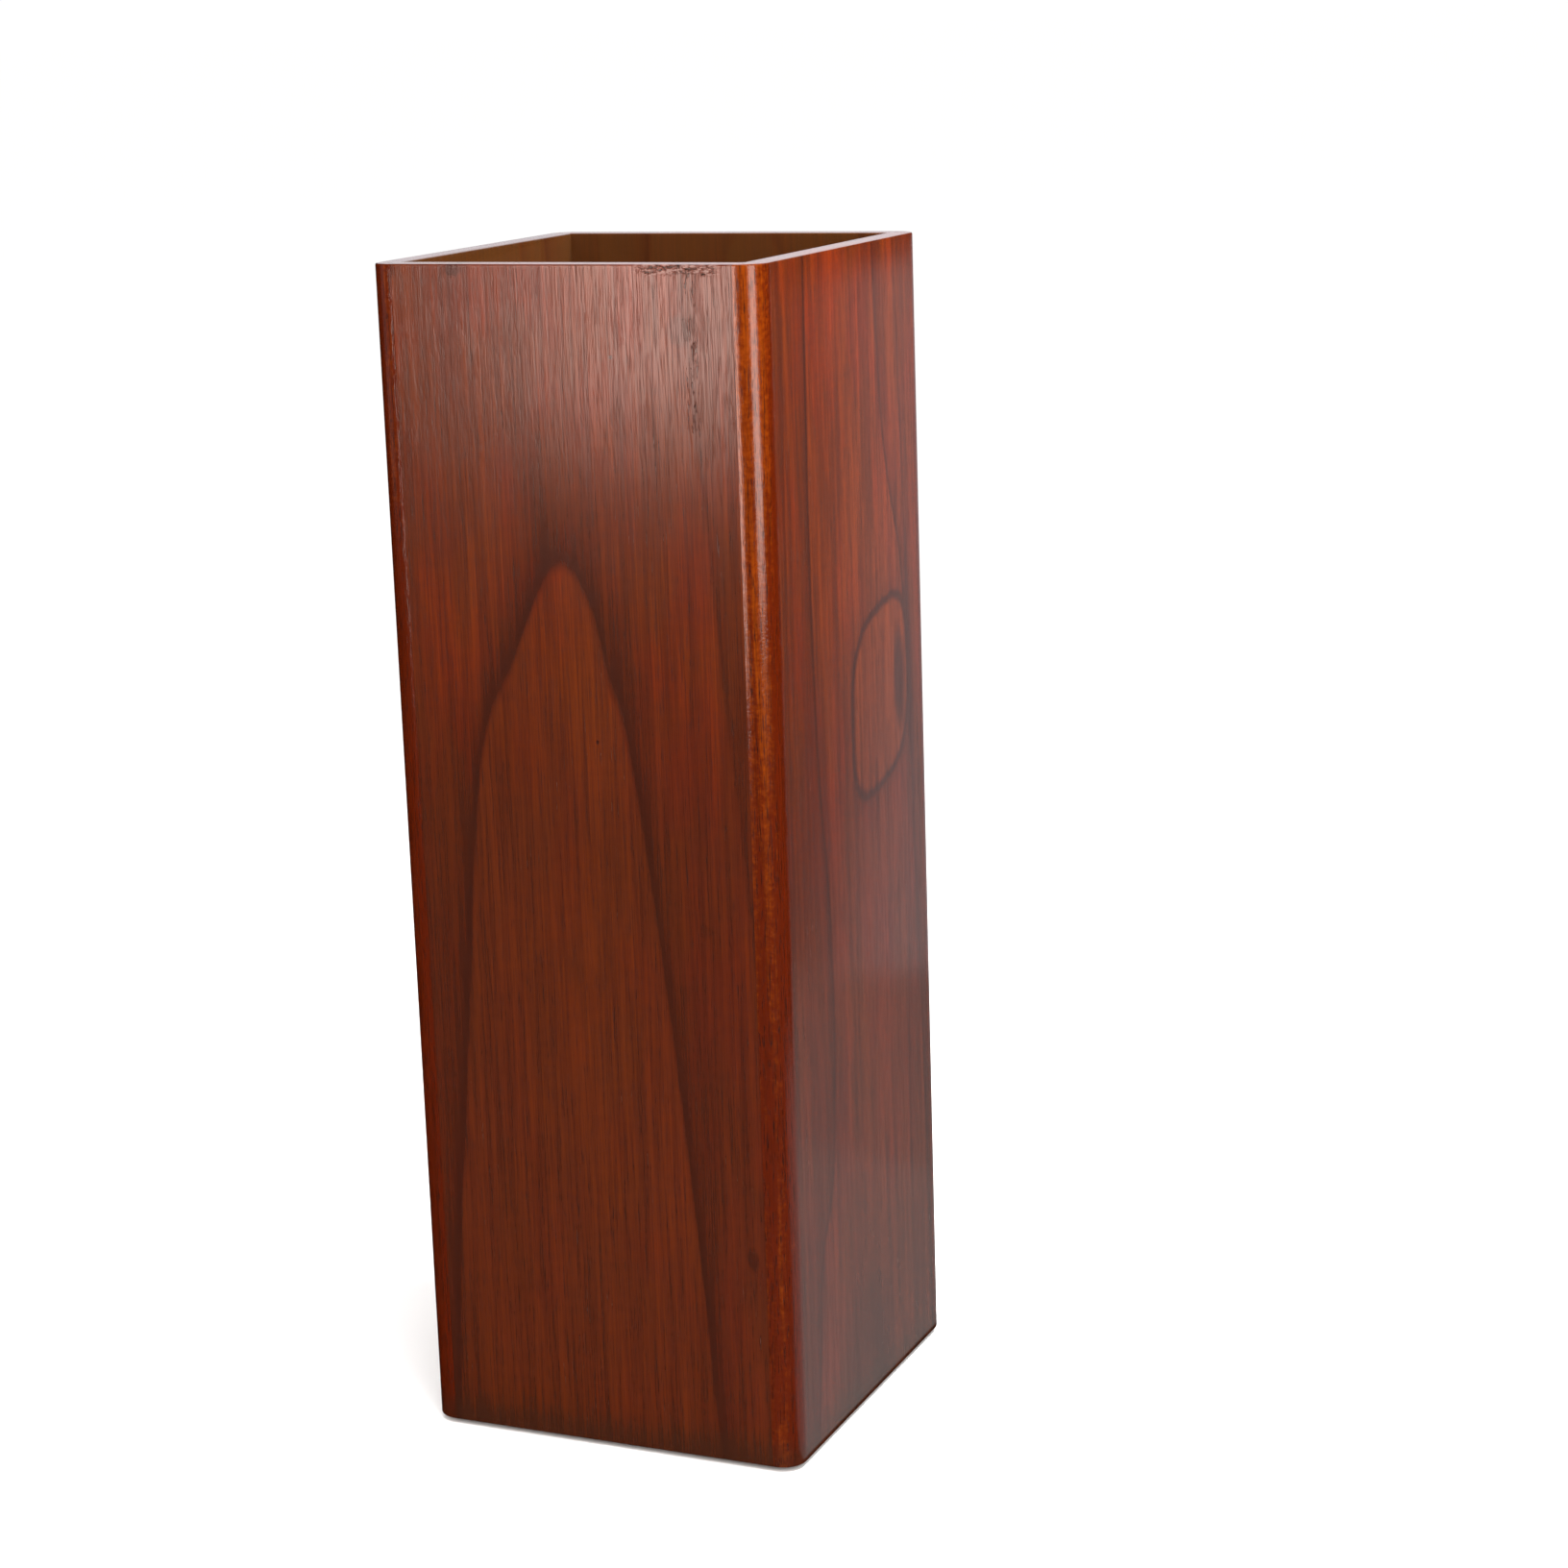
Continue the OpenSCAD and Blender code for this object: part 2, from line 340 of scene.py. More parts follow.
def boardWood(name, grain):
    material, shader, x, y, z = newMaterial(name)
    across, through = (x, y) if grain["along"] == "x" else (y, x)
    seed = grain["seed"]
    low, high = (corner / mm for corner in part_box("front_panel"))
    z = z - low.z                                 # heights are above the foot of the case
    inner, outer, top = -high.y, -low.y, high.z - low.z

    # fibres at four widths, pores, and slow changes
    close, deep = across * grain["close"] + seed, through * grain["close"]
    broad = z.noise(close * 0.11, deep * 0.11, z * 0.004, 2, 0.5)
    fibre = z.noise(close * 0.42, deep * 0.42, z * 0.009, 3, 0.65)
    fine = z.noise(close * 1.3, deep * 1.3, z * 0.022, 2, 0.7)
    vein = 1 - abs(z.noise(close * 1.15, deep * 1.15, z * 0.028, 2, 0.6)).rise(0.02, 0.16)
    grit = z.noise(close * 2.4, deep * 2.4, z * 0.16, 1, 0.5)
    pore = z.noise(close * 1.9, deep * 1.9, z * 0.09, 1, 0.4).rise(0.4, 0.8)
    wander = z.noise(across * 0.012, seed, z * 0.007, 1, 0.4)
    cloud = z.noise(across * 0.028 + seed, through * 0.02, z * 0.014, 3, 0.5)
    blush = z.noise(across * 0.06 + seed + 40, through * 0.02, z * 0.022, 2, 0.5)
    curl = z.noise(across * 0.09 + seed, through * 0.05, z * 0.35, 2, 0.5)

    # height of the apex of the arch that passes through this place
    lean = (grain["apex"] - z).rise(0, 80) * grain["lean"] + grain["middle"]
    spread = abs(across + wander * 1.2 - lean)
    ring = z + spread.bent(archSpread, (0, 100), (0, 680)) + fibre * 2.2 + fine * 1.5

    shade = (broad * 0.12 + cloud * 0.06).atLeast(0)
    for apex, strength, reach in grain["rings"]:
        past = ring - apex
        below = (apex - z).rise(0, 200)           # lower down, a ring's shade is softer and reaches further
        edge = past.rise(below * -14 - 3, below * 12 + 4)
        shade = shade + edge * falling(past, below * 34 + reach) * strength
    for points, width, strength, side, reach in grain["lines"]:
        off = (across - z.bent(points, (0, 448), (-80, 80)) + wander * 0.8 + fine * 0.25) * side
        core = 1 - abs(off).rise(0, width)
        beside = off.rise(-0.4, 0.6) * falling(off, reach) * 0.6
        shade = shade + core.atLeast(beside) * strength * (fibre * 0.2 + 0.85)
    for a, height, halfAcross, halfTall, strength in grain["spots"]:
        off = ((across - a) / halfAcross) ** 2 + ((z - height) / halfTall) ** 2
        shade = shade + (off + fine * 0.15 + fibre * 0.15).rise(1.3, 0.2) * strength

    warmth = (cloud * 0.3 + broad * 0.2 + fibre * 0.15 + 0.4).rise(0, 1)
    inside = falling(ring - grain["apex"] + 6, 3) * 0.8 if grain["rings"] else cloud.rise(0.3, 1.0) * 0.5
    colour = blush.rise(-0.6, 0.8).mix(boards["brown"], boards["red"])
    colour = (warmth * 0.5 + inside * 0.5).mix(colour, boards["warm"])

    if grain["island"]:
        a, height, halfAcross, halfTall, skew = grain["island"]
        tall = z - height - (across - a) * skew
        off = (abs(across - a + wander * 2) / halfAcross) ** 3 + (abs(tall + fibre) / halfTall) ** 3
        off = off ** 0.3333 + cloud * 0.015
        shore = (1 - abs(off - 1).rise(0, 0.085)) + off.rise(0.98, 1.03) * falling(off - 1, 0.18) * 0.6
        shade = shade + shore
        colour = (off.rise(1.0, 0.94) * 0.8).mix(colour, boards["warm"])
    if grain["cloud"]:
        a, height, halfAcross, halfTall = grain["cloud"]
        off = ((across - a) / halfAcross) ** 2 + ((z - height) / halfTall) ** 2 + blush * 0.25 + fibre * 0.1
        colour = (off.rise(1.3, 0.2) * 0.5).mix(colour, boards["stain"])
    if grain["marks"]:                            # broken dark strokes beside the upper end of a line
        a, half, lowest, highest = grain["marks"]
        stroke = z.noise(across * 1.3 + seed + 9, through, z * 0.2, 2, 0.6).rise(0.3, 0.6)
        zone = abs(across - a).rise(half, half * 0.4)
        stroke = stroke * zone * z.rise(lowest - 8, lowest + 8) * z.rise(highest + 2, highest - 2)
        shade = shade + stroke * 0.9

    streaks = ((fibre * 0.36 + fine * 0.30) * grain["streak"] + curl * 0.07 + 0.46).rise(0, 1)
    colour = (0.62 - streaks * 0.62).mix(colour, boards["dark"])
    colour = (shade * 0.86).atMost(0.92).mix(colour, boards["dark"])
    colour = (vein * 0.28 + pore * 0.25).atMost(0.8).mix(colour, boards["pore"])

    # painted shade: the lower half is a little darker, more so beside the left edge of the face, where less
    # light falls
    paintedLowShade = z.rise(330, 230) * grain["lower"] * (across.rise(-45, -72) * 0.15 + 0.3)
    colour = paintedLowShade.mix(colour, boards["dark"])

    # the foot has drunk more stain, the arrises are rubbed, and the inner side has less lacquer
    drunk = (z + fine * 2.5 + fibre * 3 + broad * 2).rise(17, 3)
    colour = (drunk * 0.62).mix(colour, boards["stain"])
    bare = abs(through).rise(inner + 0.8, inner + 0.4)
    colour = (bare * (0.75 - shade * 0.5)).mix(colour, boards["raw"])
    rubbed = z.rise(top - 0.8, top - 0.1) * (fine * 0.4 + fibre * 0.3 + 0.3).atLeast(0)
    colour = (rubbed * abs(through).rise(outer - 1.3, outer - 0.5) * 0.6).mix(colour, boards["worn"])
    gloss = boards["roughness"] + cloud * 0.015 + pore * 0.05 + vein * 0.04 - bare * 0.1

    relief = (fibre * 0.03 + fine * 0.13 + grit * 0.09 - vein * 0.30 - pore * 0.06) * 0.5 + 0.6
    if grain["marks"]:                            # torn fibres at the top edge, dark cracks, and a painted highlight of the lacquer's glint between them
        first, last = boards["tearSpan"]
        torn = across.rise(first - 2, first + 4) * across.rise(last + 2, last - 3)
        torn = torn * abs(through).rise(outer - 1.3, outer - 0.7)
        torn = torn * (z + fine * 0.6 + broad * 0.8).rise(top - 4.2, top - 2.8)
        crack = z.noise(across * 0.5 + seed, through, z * 1.1, 3, 0.7)
        # painted highlight: a pale glint of lacquer on the torn fibres between the cracks
        colour = (torn * crack.rise(0.2, -0.5) * 0.6).mix(colour, boards["paintedGlint"])
        colour = (torn * crack.rise(0.1, 0.5)).mix(colour, boards["pore"])
        relief = relief + torn * crack - stroke * 0.4
        gloss = gloss - torn * 0.06
    colour = colour.node("Mix", {"data_type": "RGBA", "blend_type": "MULTIPLY"},
                         {0: 1, 6: colour, 7: grain["tint"]}, 2)
    dress(shader, colour, gloss, relief, boards["bump"] * grain["relief"])
    return material


def modelBoard():                                 # the front board, the others are its copies
    low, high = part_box("front_panel")
    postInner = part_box("front_right_post")[0].x
    tongue = high.x - postInner
    board = addBlock("frontBoard", (-postInner, low.y, low.z), (postInner, high.y, high.z))
    openMesh(board)
    start, end = low.y + boards["tongueInset"], low.y + boards["tongueInset"] + boards["tongueThick"]
    cutThrough((0, start, 0), (0, 1, 0))
    cutThrough((0, end, 0), (0, 1, 0))
    for way in (-1, 1):                           # a tongue on each upright edge
        pick(board, "FACE", lambda f: f.normal.x * way > 0.9 and start < f.calc_center_median().y < end)
        bpy.ops.mesh.extrude_region_move(TRANSFORM_OT_translate={"value": (way * tongue, 0, 0)})
    pick(board, "EDGE", lambda e: (level(e, high.z) or level(e, low.z))
         and any(all(abs(v.co.y - face) < tiny for v in e.verts) for face in (low.y, high.y)))
    soften(boards["arris"], 3)
    pick(board, "EDGE", lambda e: upright(e) and abs(abs(middle(e).x) - postInner) < tiny
         and abs(middle(e).y - low.y) < tiny)
    soften(boards["jointEase"], 1)
    closeMesh()
    return board


def tearTop(board):                               # small bites out of the top edge, where the fibres tore
    low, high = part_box("front_panel")
    openMesh(board)
    first, last = boards["tearSpan"]
    for step in range(int((last - first) / boards["tearStep"]) + 1):
        cutThrough(((first + step * boards["tearStep"]) * mm, 0, 0), (1, 0, 0))
    for row in range(1, boards["tearRows"] + 1):  # the last two rows stay flat
        cutThrough((0, 0, high.z - row * boards["tearRow"] * mm), (0, 0, 1))
    shape = bmesh.from_edit_mesh(board.data)
    for v in shape.verts:
        a, down = v.co.x / mm, (high.z - v.co.z) / mm
        if first < a < last and down < boards["tearDeep"] and v.co.y < low.y + boards["tearThick"] * mm:
            edge = min(1, (a - first) / 5, (last - a) / 5) * (1 - down / boards["tearDeep"])
            rough = noise.noise(Vector((a * 0.35, down * 0.9, 4.2)))
            rough += 0.5 * noise.noise(Vector((a * 1.1, down * 2, 7)))
            v.co.y += max(0, rough + 0.05) * boards["tearBite"] * edge * mm
    bmesh.update_edit_mesh(board.data)
    closeMesh()


frontBoard = modelBoard()
rightBoard = copyTurned(frontBoard, "rightBoard", math.pi / 2)
backBoard = copyTurned(frontBoard, "backBoard", math.pi)
leftBoard = copyTurned(frontBoard, "leftBoard", -math.pi / 2)
tearTop(frontBoard)
for board, node in ((frontBoard, "front_panel"), (rightBoard, "right_panel"), (backBoard, "back_panel"),
                    (leftBoard, "left_panel")):
    finishPiece(board, boardWood("stained_" + board.name, boardGrain[node]), "stained_wood", "stand", node)
print("boards made")


# corner posts

posts = {
    "radius": 9 * mm, "steps": 14, "grooveSpare": 0.3 * mm,
    "light": (0.142, 0.0225, 0.0004, 1), "deep": (0.056, 0.0054, 0.0004, 1),
    "dark": (0.014, 0.0022, 0.0006, 1), "worn": (0.080, 0.0260, 0.0110, 1), "roughness": 0.15,
    "bump": 0.09 * mm,
}


def postWood(name, seed, amber, paintedSideShade):            # amber: how light, lowered on the front left post as painted shade. Last, the span along y where painted shade darkens the side turned from the light
    material, shader, x, y, z = newMaterial(name)
    low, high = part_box("front_panel")
    z, top = z - low.z / mm, (high.z - low.z) / mm
    broad = z.noise(x * 0.22 + seed, y * 0.22, z * 0.006, 2, 0.5)
    fibre = z.noise(x * 0.8 + seed, y * 0.8, z * 0.02, 3, 0.6)
    fine = z.noise(x * 2.4 + seed, y * 2.4, z * 0.07, 2, 0.6)
    cloud = z.noise(x * 0.05 + seed, y * 0.05, z * 0.02, 2, 0.5)
    pore = z.noise(x * 2.2 + seed, y * 2.2, z * 0.16, 1, 0.4).rise(0.3, 0.75)
    curl = z.noise(x * 0.35 + seed, y * 0.35, z * 0.5 + broad * 0.6, 3, 0.65)      # bars across the fibres
    ripple = z.noise(x * 1.1 + seed, y * 1.1, z * 1.5, 2, 0.6)
    band = z.calc("SINE", x * 0.9 + y * 0.5 + broad * 1.5 + fibre * 0.4 + cloud + seed)
    tone = band * 0.14 + fibre * 0.3 + broad * 0.2 + curl * 0.32 + ripple * 0.1 + cloud * 0.1 + amber - 0.5
    tone = tone + z.rise(130, 430) * 0.6          # paler towards the rim
    # painted shade: darker where the rounded post turns its side away from the light
    tone = (tone - y.rise(paintedSideShade[0], paintedSideShade[1]) * 0.6).rise(0, 1)
    colour = tone.mix(posts["deep"], posts["light"])
    speck = (fine * 0.4 + fibre * 0.25 + 0.1).atLeast(0)
    colour = (pore * 0.5 + speck).atMost(0.85).mix(colour, posts["dark"])
    drunk = (z + fine * 2 + fibre * 3).rise(14, 2)
    colour = (drunk * 0.5).mix(colour, boards["stain"])
    rubbed = z.rise(top - 0.8, top - 0.1) * (fine * 0.5 + 0.4)
    colour = (rubbed * 0.4).mix(colour, posts["worn"])
    relief = (fibre * 0.15 + fine * 0.2 + curl * 0.35 + ripple * 0.25 - pore * 0.2) * 0.4 + 0.5
    dress(shader, colour, posts["roughness"] + pore * 0.08 + ripple * 0.03, relief, posts["bump"])
    return material


def modelPost():                                  # the front left post, the others are its copies
    low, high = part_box("front_left_post")
    post = addBlock("frontLeftPost", low, high)
    openMesh(post)
    pick(post, "EDGE", lambda e: upright(e) and abs(middle(e).x - low.x) < tiny
         and abs(middle(e).y - low.y) < tiny)
    soften(posts["radius"], posts["steps"])
    pick(post, "EDGE", lambda e: (level(e, low.z) or level(e, high.z))
         and not all(v.co.x > high.x - tiny for v in e.verts)
         and not all(v.co.y > high.y - tiny for v in e.verts))
    soften(boards["arris"], 3)
    closeMesh()
    # a groove in each inner side takes a board's tongue
    start, end = boards["tongueInset"], boards["tongueInset"] + boards["tongueThick"]
    deep = high.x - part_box("front_panel")[0].x + posts["grooveSpare"]
    first = addBlock("groove", (high.x - deep, low.y + start, low.z - mm),
                     (high.x + mm, low.y + end, high.z + mm))
    second = addBlock("groove", (low.x + start, high.y - deep, low.z - mm),
                      (low.x + end, high.y + mm, high.z + mm))
    carve(post, joinAll("groove", [first, second]))
    return post


frontLeftPost = modelPost()
frontRightPost = copyTurned(frontLeftPost, "frontRightPost", math.pi / 2)
backRightPost = copyTurned(frontLeftPost, "backRightPost", math.pi)
backLeftPost = copyTurned(frontLeftPost, "backLeftPost", -math.pi / 2)
# painted shade: the front left post gets the least amber, and each post's last pair is the span along y
# where painted shade darkens its side
for post, node, seed, amber, paintedSideShade in ((frontLeftPost, "front_left_post", 1.3, -0.12, (-74, -66)),
                                      (frontRightPost, "front_right_post", 4.9, 0.55, (-75.5, -70)),
                                      (backLeftPost, "back_left_post", 9.2, 0.4, (70, 78)),
                                      (backRightPost, "back_right_post", 12.8, 0.2, (66, 74))):
    finishPiece(post, postWood("amber_" + post.name, seed, amber, paintedSideShade), "amber_wood", "stand", node)
print("posts made")


# screws, and the holes for them

screws = {
    "head": 3.5 * mm, "headTall": 2 * mm, "shank": 1.75 * mm, "core": 1.3 * mm, "plain": 5 * mm,
    "headEase": ((0.25 * mm, 0), (0.08 * mm, 0.05 * mm), (0, 0.2 * mm)),    # in from the head's edge, and up
    "pitch": 1.5 * mm, "valley": (0.25 * mm, 0.75 * mm), "crest": (1.1 * mm, 1.2 * mm),
    "tip": (0.35 * mm, 0.05 * mm), "fromEnd": 18 * mm, "hole": 1.85 * mm, "spare": 0.3 * mm,
    "recess": 3.85 * mm, "slot": 0.98 * mm, "recessDeep": 1.2 * mm, "recessTaper": (0.45, 0.75),
    "steps": 28, "steel": (0.60, 0.56, 0.47, 1), "dull": (0.30, 0.27, 0.22, 1), "roughness": 0.32,
    "bump": 0.015 * mm,
}


def spinOutline(name, outline, steps):            # turns an outline of (radius, height) points about z
    bpy.ops.object.select_all(action="DESELECT")
    bpy.ops.mesh.primitive_plane_add(size=mm, location=(0, 0, 0))
    turned = beginWith(bpy.context.object, name)
    openMesh(turned)
    pick(turned, "VERT", lambda v: v.index > 0)
    bpy.ops.mesh.delete(type="VERT")
    shape = bmesh.from_edit_mesh(turned.data)
    shape.verts.ensure_lookup_table()
    shape.verts[0].co = (outline[0][0], 0, outline[0][1])
    bmesh.update_edit_mesh(turned.data)
    bpy.ops.mesh.select_all(action="SELECT")
    for start, end in zip(outline, outline[1:]):
        step = (end[0] - start[0], 0, end[1] - start[1])
        bpy.ops.mesh.extrude_region_move(TRANSFORM_OT_translate={"value": step})
    bpy.ops.mesh.select_all(action="SELECT")
    bpy.ops.mesh.spin(steps=steps, angle=math.tau, center=(0, 0, 0), axis=(0, 0, 1))
    bpy.ops.mesh.select_all(action="SELECT")
    bpy.ops.mesh.remove_doubles(threshold=tiny)
    bpy.ops.mesh.normals_make_consistent(inside=False)
    closeMesh()
    return turned


def screwPlaces():                                # two in each cleat, as far from the middle in every one
    low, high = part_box("cleat_screws")
    line = high.x - screws["head"]
    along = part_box("right_cleat")[1].y - screws["fromEnd"]
    return [(x, y, low.z) for x in (-along, along) for y in (-line, line)] + \
           [(x, y, low.z) for x in (-line, line) for y in (-along, along)]


def modelScrew():
    low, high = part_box("cleat_screws")
    head, shank, core = screws["head"], screws["shank"], screws["core"]
    tall = high.z - low.z
    outline = [(0, 0)] + [(head - inward, up) for inward, up in screws["headEase"]]
    outline += [(shank, screws["headTall"]), (shank, screws["plain"])]
    height, coneStart = screws["plain"], tall - 2 * shank
    while height + screws["pitch"] < coneStart:
        outline += [(core, height + up) for up in screws["valley"]]
        outline += [(shank, height + up) for up in screws["crest"]]
        height += screws["pitch"]
    tipWide, tipTall = screws["tip"]
    outline += [(core, height + screws["valley"][0]), (core, coneStart)]
    outline += [(tipWide, tall - tipTall), (0, tall)]
    screw = spinOutline("screw", outline, screws["steps"])
    half, slot, deep = screws["recess"] / 2, screws["slot"] / 2, screws["recessDeep"]
    arms = []
    for long, wide in ((half, slot), (slot, half)):
        arm = addBlock("arm", (-long, -wide, -0.1 * mm), (long, wide, deep))
        openMesh(arm)
        pick(arm, "FACE", lambda f: f.normal.z > 0.9)
        narrow, full = screws["recessTaper"]      # the recess narrows towards its floor
        bpy.ops.transform.resize(value=(narrow, full, 1) if long > wide else (full, narrow, 1))
        closeMesh()
        arms.append(arm)
    carve(arms[0], arms[1], "UNION")
    carve(screw, arms[0])
    return screw


def screwSteel():                                 # zinc plate, dull in patches, finely scratched
    material, shader, x, y, z = newMaterial("screw_zinc")
    patch = z.noise(x * 0.8, y * 0.8, z * 0.8, 3, 0.6)
    scratch = z.noise(x * 6, y * 0.7, z * 6, 2, 0.6)
    colour = (patch * 0.6 + 0.5).rise(0.1, 0.9).mix(screws["dull"], screws["steel"])
    plug(shader, "Metallic", 0.75)
    roughness = screws["roughness"] + patch * 0.12 + scratch * 0.06
    dress(shader, colour, roughness, scratch * 0.5 + 0.5, screws["bump"])
    return material


def drillCutter():                                # clearance holes and countersinks for all the screws
    low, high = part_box("cleat_screws")
    deep = high.z - low.z + screws["spare"]
    outline = [(0, -0.5 * mm), (screws["head"], -0.5 * mm), (screws["head"], 0),
               (screws["hole"], screws["headTall"]), (screws["hole"], deep), (0, deep)]
    drill = spinOutline("drill", outline, screws["steps"])
    drills = [copyTurned(drill, "drill", 0, place) for place in screwPlaces()]
    bpy.data.objects.remove(drill)
    return joinAll("drills", drills)


oneScrew = modelScrew()
allScrews = joinAll("screws", [copyTurned(oneScrew, "screw", index * 0.7, place)
                               for index, place in enumerate(screwPlaces())])
bpy.data.objects.remove(oneScrew)
finishPiece(allScrews, screwSteel(), "screw_steel", "stand", "cleat_screws")
print("screws made")


# cleats

cleats = {
    "ease": 0.8 * mm, "sawn": 0.25 * mm, "light": (0.62, 0.39, 0.17, 1), "late": (0.40, 0.19, 0.065, 1),
    "grey": (0.36, 0.25, 0.15, 1), "stain": (0.10, 0.028, 0.010, 1), "roughness": 0.62, "bump": 0.12 * mm,
}


def softwood(name, along, seed):
    material, shader, x, y, z = newMaterial(name)
    run, side = (x, y) if along == "x" else (y, x)
    wander = z.noise(run * 0.015 + seed, side * 0.05, z * 0.05, 2, 0.5)
    rings = z.calc("SINE", side * 1.5 + z * 2.2 + wander * 5 + seed)
    fibre = z.noise(run * 0.06 + seed, side * 1.6, z * 1.6, 3, 0.6)
    fuzz = z.noise(run * 0.8 + seed, side * 3.0, z * 3.0, 2, 0.6)
    late = (rings * 0.5 + fibre * 0.3 + 0.35).rise(0.45, 1.05)
    colour = late.mix(cleats["light"], cleats["late"])
    colour = (fuzz * 0.3 + 0.2).atLeast(0).mix(colour, cleats["grey"])
    inner = -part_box("front_panel")[1].y / mm
    drip = abs(side).rise(inner - 1.3, inner - 0.1) * (fibre * 0.5 + 0.6)    # stain that ran off the boards
    colour = (drip * 0.7).mix(colour, cleats["stain"])
    relief = (fibre * 0.4 + fuzz * 0.3 - late * 0.3) * 0.5 + 0.5
    dress(shader, colour, cleats["roughness"] + late * -0.1 + fuzz * 0.06, relief, cleats["bump"])
    return material


def modelCleat(name, node):
    low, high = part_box(node)
    cleat = addBlock(name, low, high)
    openMesh(cleat)
    inward = Vector((low.x + high.x, low.y + high.y, 0)) * -1
    pick(cleat, "EDGE", lambda e: level(e, low.z) and (middle(e) - (low + high) / 2).dot(inward) > 1e-7)
    soften(cleats["ease"], 3)
    pick(cleat, "EDGE", lambda e: e.is_manifold and sharp(e))
    soften(cleats["sawn"], 1)
    closeMesh()
    carve(cleat, drillCutter())
    return cleat


frontCleat = modelCleat("frontCleat", "front_cleat")
backCleat = copyTurned(frontCleat, "backCleat", math.pi)
leftCleat = modelCleat("leftCleat", "left_cleat")
rightCleat = copyTurned(leftCleat, "rightCleat", math.pi)
for cleat, node, along, seed in ((frontCleat, "front_cleat", "x", 2.2),
                                 (backCleat, "back_cleat", "x", 6.1),
                                 (leftCleat, "left_cleat", "y", 9.9),
                                 (rightCleat, "right_cleat", "y", 14.3)):
    finishPiece(cleat, softwood("softwood_" + cleat.name, along, seed), "cleat_wood", "stand", node)
print("cleats made")


# bottom board

bottom = {
    "plies": 5, "ply": 0.1 * mm, "ease": 0.3 * mm, "corner": 1.2 * mm, "face": (0.56, 0.37, 0.19, 1),
    "faceDark": (0.40, 0.22, 0.09, 1), "core": (0.30, 0.16, 0.070, 1), "pore": (0.16, 0.075, 0.030, 1),
    "wet": (0.22, 0.115, 0.050, 1), "roughness": 0.55, "bump": 0.08 * mm,
    "stains": ((21, -14, 23), (-30, 25, 15)),    # rings left by water: across, along and radius in mm
}


def plywood():
    material, shader, x, y, z = newMaterial("birch_plywood")
    low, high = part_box("bottom_board")
    layer = (z - low.z / mm) / ((high.z - low.z) / mm) * bottom["plies"]
    odd = (layer.calc("FLOOR", layer) % 2).rise(0.4, 0.6)          # plies that run the other way
    wander = z.noise(x * 0.012, y * 0.03, z * 0.01, 2, 0.5)
    grain = z.noise(x * 0.02, y * 0.5 + wander * 2, z * 0.3, 3, 0.6)
    fine = z.noise(x * 0.15, y * 2.6, z * 2, 2, 0.6)
    crossGrain = z.noise(x * 1.4, y * 1.4, z * 0.3, 3, 0.7)
    swirl = z.calc("SINE", y * 0.22 + wander * 9)
    colour = (grain * 0.5 + swirl * 0.25 + 0.35).rise(0.1, 0.9).mix(bottom["face"], bottom["faceDark"])
    colour = (fine.rise(0.15, 0.5) * 0.45).mix(colour, bottom["pore"])
    atEdge = abs(x).atLeast(abs(y)).rise(high.x / mm - 0.4, high.x / mm - 0.1)
    colour = (atEdge * odd * 0.7).mix(colour, bottom["core"])
    ring, other = (abs(((x - a) ** 2 + (y - b) ** 2) ** 0.5 - radius + wander * 2)
                   for a, b, radius in bottom["stains"])
    mark = (1 - ring.atMost(other).rise(0.2, 2.2)) * (crossGrain * 0.5 + 0.6)
    colour = (mark * 0.4).mix(colour, bottom["wet"])
    relief = (grain * 0.3 + fine * 0.4 + crossGrain * atEdge) * 0.5 + 0.5
    dress(shader, colour, bottom["roughness"] + grain * 0.06 + atEdge * 0.2, relief, bottom["bump"])
    return material


def modelBottom():
    low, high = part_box("bottom_board")
    board = addBlock("plyBottom", low, high)
    openMesh(board)
    pick(board, "EDGE", upright)
    soften(bottom["corner"], 3)
    tall = (high.z - low.z) / bottom["plies"]
    for layer in range(1, bottom["plies"]):
        cutThrough((0, 0, low.z + layer * tall), (0, 0, 1))
    for layer in range(1, bottom["plies"], 2):    # the cross plies have worn back at the sawn edges
        start = low.z + layer * tall
        pick(board, "FACE", lambda f: abs(f.normal.z) < 0.1
             and start < f.calc_center_median().z < start + tall)
        bpy.ops.mesh.extrude_region_shrink_fatten(TRANSFORM_OT_shrink_fatten={"value": -bottom["ply"]})
    pick(board, "EDGE", lambda e: level(e, high.z) or level(e, low.z))
    soften(bottom["ease"], 2)
    closeMesh()
    carve(board, drillCutter())
    return board


finishPiece(modelBottom(), plywood(), "plywood", "stand", "bottom_board")
print("bottom made")


# pads

pads = {
    "ease": 0.45 * mm, "topEase": 0.12 * mm, "rings": (2.2 * mm, 4.2 * mm), "ringWide": 0.6 * mm,
    "ringDeep": 0.35 * mm, "ringSlope": 0.15 * mm, "steps": 72, "rubber": (0.020, 0.0195, 0.018, 1),
    "dust": (0.12, 0.11, 0.095, 1), "roughness": 0.78, "bump": 0.1 * mm,
}


def padRubber():
    material, shader, x, y, z = newMaterial("pad_foam_rubber")
    cells = z.noise(x * 3.2, y * 3.2, z * 3.2, 3, 0.7)
    patch = z.noise(x * 0.35, y * 0.35, z * 0.35, 2, 0.6)
    dust = (patch * 0.8 + cells * 0.4 + 0.15).rise(0.1, 0.9) * z.rise(0.9, 0.0)
    colour = (dust * 0.7 + 0.06).mix(pads["rubber"], pads["dust"])
    roughness = pads["roughness"] + cells * 0.08 + dust * 0.1
    dress(shader, colour, roughness, cells * 0.5 + 0.5, pads["bump"])
    return material


